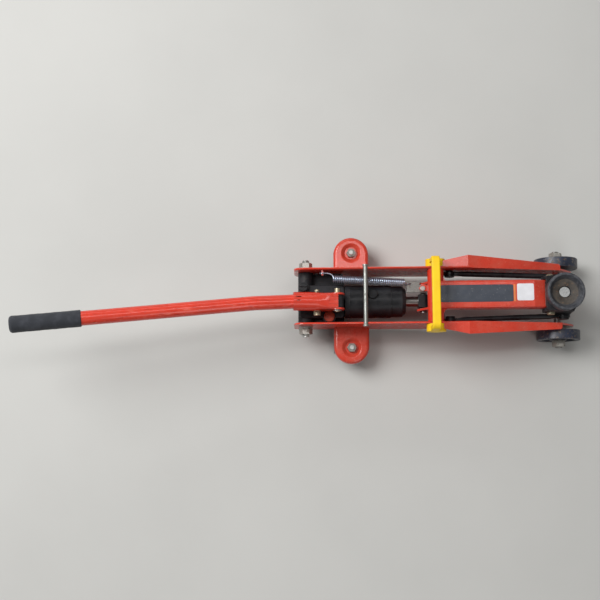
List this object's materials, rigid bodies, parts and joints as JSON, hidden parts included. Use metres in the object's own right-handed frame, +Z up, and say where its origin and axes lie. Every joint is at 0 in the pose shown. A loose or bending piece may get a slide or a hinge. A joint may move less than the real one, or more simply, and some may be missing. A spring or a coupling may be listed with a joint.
{
  "type": "trolley jack",
  "caption": "Small hydraulic trolley jack: pressed side plates on wheels, pump with bent handle, and a lift arm whose links keep the round saddle level.",
  "frame": {"origin": "middle of the jack's box at floor level, with the arm lowered and the handle in its socket", "axes": "+X forward, from the grip to the saddle; +Y to the jack's left; +Z up"},
  "size_m": [0.8698, 0.203, 0.1887],
  "materials": {
    "red_paint": "glossy red enamel, scuffed and dusty",
    "black_cast": "black painted casting, worn",
    "black_paint": "black enamel, worn",
    "zinc": "zinc plated, dull",
    "steel": "bare steel, oily",
    "yellow_zinc": "yellow passivated zinc",
    "chrome_ram": "hard chrome",
    "yellow_plastic": "moulded, slight sheen",
    "wheel_paint": "dark enamel, chipped on the tread",
    "foam_grip": "closed-cell foam",
    "seal_rubber": "oil-proof rubber",
    "filler_rubber": "black rubber",
    "dark_red_plastic": "moulded"
  },
  "bodies": {
    "frame": {"side_plate_left": "red_paint", "side_plate_right": "red_paint", "caster_bracket_left": "red_paint", "caster_bracket_right": "red_paint", "tie_rod": "zinc", "pump_block": "black_cast", "reservoir_tube": "black_paint", "gland_cap": "black_paint", "pressure_cylinder": "steel", "filler_plug": "filler_rubber", "overload_cap": "dark_red_plastic", "pump_studs": "zinc", "stud_washers": "zinc", "stud_nuts": "zinc", "pivot_shaft": "steel", "front_axle": "steel", "axle_nuts": "zinc", "axle_spacers": "steel", "carry_handle": "yellow_plastic", "fulcrum_pin": "yellow_zinc", "fulcrum_clip": "zinc", "link_rear_pins": "black_paint", "caster_bolts": "zinc", "caster_nuts": "zinc", "caster_washers": "zinc", "plunger_gland": "zinc", "return_spring": "zinc"},
    "arm": {"lift_arm": "red_paint", "arm_pivot_tube": "red_paint", "spring_anchor": "zinc", "anchor_rivet": "zinc", "saddle_base_pin": "yellow_zinc"},
    "saddle_base": {"saddle_base": "black_cast", "link_front_pins": "black_paint"},
    "saddle": {"saddle": "black_cast", "saddle_pin": "zinc"},
    "link_left": {"link_rod_left": "black_paint"},
    "link_right": {"link_rod_right": "black_paint"},
    "ram": {"ram": "chrome_ram", "piston_seal": "seal_rubber", "ram_head": "black_paint", "ram_pin": "steel"},
    "yoke": {"handle_socket": "red_paint", "plunger_pin": "yellow_zinc", "plunger_washer": "zinc", "split_pin": "zinc"},
    "plunger": {"pump_plunger": "steel"},
    "handle": {"handle_tube": "red_paint", "handle_grip": "foam_grip"},
    "release": {"release_screw": "black_paint"},
    "caster_left": {"caster_fork_left": "steel", "caster_axle_left": "steel"},
    "caster_right": {"caster_fork_right": "steel", "caster_axle_right": "steel"},
    "caster_wheel_left": {"caster_wheel_left": "wheel_paint"},
    "caster_wheel_right": {"caster_wheel_right": "wheel_paint"},
    "front_wheel_left": {"front_wheel_left": "wheel_paint"},
    "front_wheel_right": {"front_wheel_right": "wheel_paint"}
  },
  "joints": [
    {"name": "arm_lift", "type": "hinge", "parent": "frame", "child": "arm", "pos_m": [0.19992, 0, 0.092], "axis": [0, -1, 0], "range_deg": [0, 60], "deforming": ["return_spring"]},
    {"name": "saddle_level", "type": "hinge", "parent": "arm", "child": "saddle_base", "pos_m": [0.37592, 0, 0.094], "axis": [0, -1, 0], "range_deg": [-60, 0]},
    {"name": "saddle_turn", "type": "hinge", "parent": "saddle_base", "child": "saddle", "pos_m": [0.39062, 0, 0.135], "axis": [0, 0, 1], "continuous": true},
    {"name": "link_swing_left", "type": "hinge", "parent": "frame", "child": "link_left", "pos_m": [0.22392, 0.03655, 0.075], "axis": [0, -1, 0], "range_deg": [0, 60]},
    {"name": "link_swing_right", "type": "hinge", "parent": "frame", "child": "link_right", "pos_m": [0.22392, -0.03655, 0.075], "axis": [0, -1, 0], "range_deg": [0, 60]},
    {"name": "ram_extend", "type": "slide", "parent": "frame", "child": "ram", "axis": [1, 0, 0], "range_m": [0, 0.03119]},
    {"name": "pump_stroke", "type": "hinge", "parent": "frame", "child": "yoke", "pos_m": [0.04792, -0.01, 0.1], "axis": [0, 1, 0], "range_deg": [0, 45.5]},
    {"name": "plunger_slide", "type": "slide", "parent": "frame", "child": "plunger", "axis": [0, 0, 1], "range_m": [0, 0.02601]},
    {"name": "handle_twist", "type": "hinge", "parent": "yoke", "child": "handle", "pos_m": [-0.00811, -0.01, 0.1049], "axis": [-0.995, -0.0481, 0.0872], "continuous": true},
    {"name": "release_turn", "type": "hinge", "parent": "frame", "child": "release", "pos_m": [-0.00408, 0.0155, 0.072], "axis": [0, 0, 1], "range_deg": [0, 360]},
    {"name": "caster_swivel_left", "type": "hinge", "parent": "frame", "child": "caster_left", "pos_m": [0.07192, 0.076, 0.04], "axis": [0, 0, 1], "continuous": true},
    {"name": "caster_roll_left", "type": "hinge", "parent": "caster_left", "child": "caster_wheel_left", "pos_m": [0.05792, 0.076, 0.0135], "axis": [0, 1, 0], "continuous": true},
    {"name": "front_roll_left", "type": "hinge", "parent": "frame", "child": "front_wheel_left", "pos_m": [0.40092, 0.0572, 0.034], "axis": [0, 1, 0], "continuous": true},
    {"name": "caster_swivel_right", "type": "hinge", "parent": "frame", "child": "caster_right", "pos_m": [0.07192, -0.076, 0.04], "axis": [0, 0, 1], "continuous": true},
    {"name": "caster_roll_right", "type": "hinge", "parent": "caster_right", "child": "caster_wheel_right", "pos_m": [0.05792, -0.076, 0.0135], "axis": [0, 1, 0], "continuous": true},
    {"name": "front_roll_right", "type": "hinge", "parent": "frame", "child": "front_wheel_right", "pos_m": [0.40092, -0.0572, 0.034], "axis": [0, 1, 0], "continuous": true}
  ],
  "couplings": [
    {"joint": "saddle_level", "follows": "arm_lift", "ratio": -1},
    {"joint": "link_swing_left", "follows": "arm_lift", "ratio": 1},
    {"joint": "link_swing_right", "follows": "arm_lift", "ratio": 1},
    {"joint": "ram_extend", "follows": "arm_lift", "m_per_rad": 0.029772},
    {"joint": "plunger_slide", "follows": "pump_stroke", "m_per_rad": 0.032739}
  ]
}
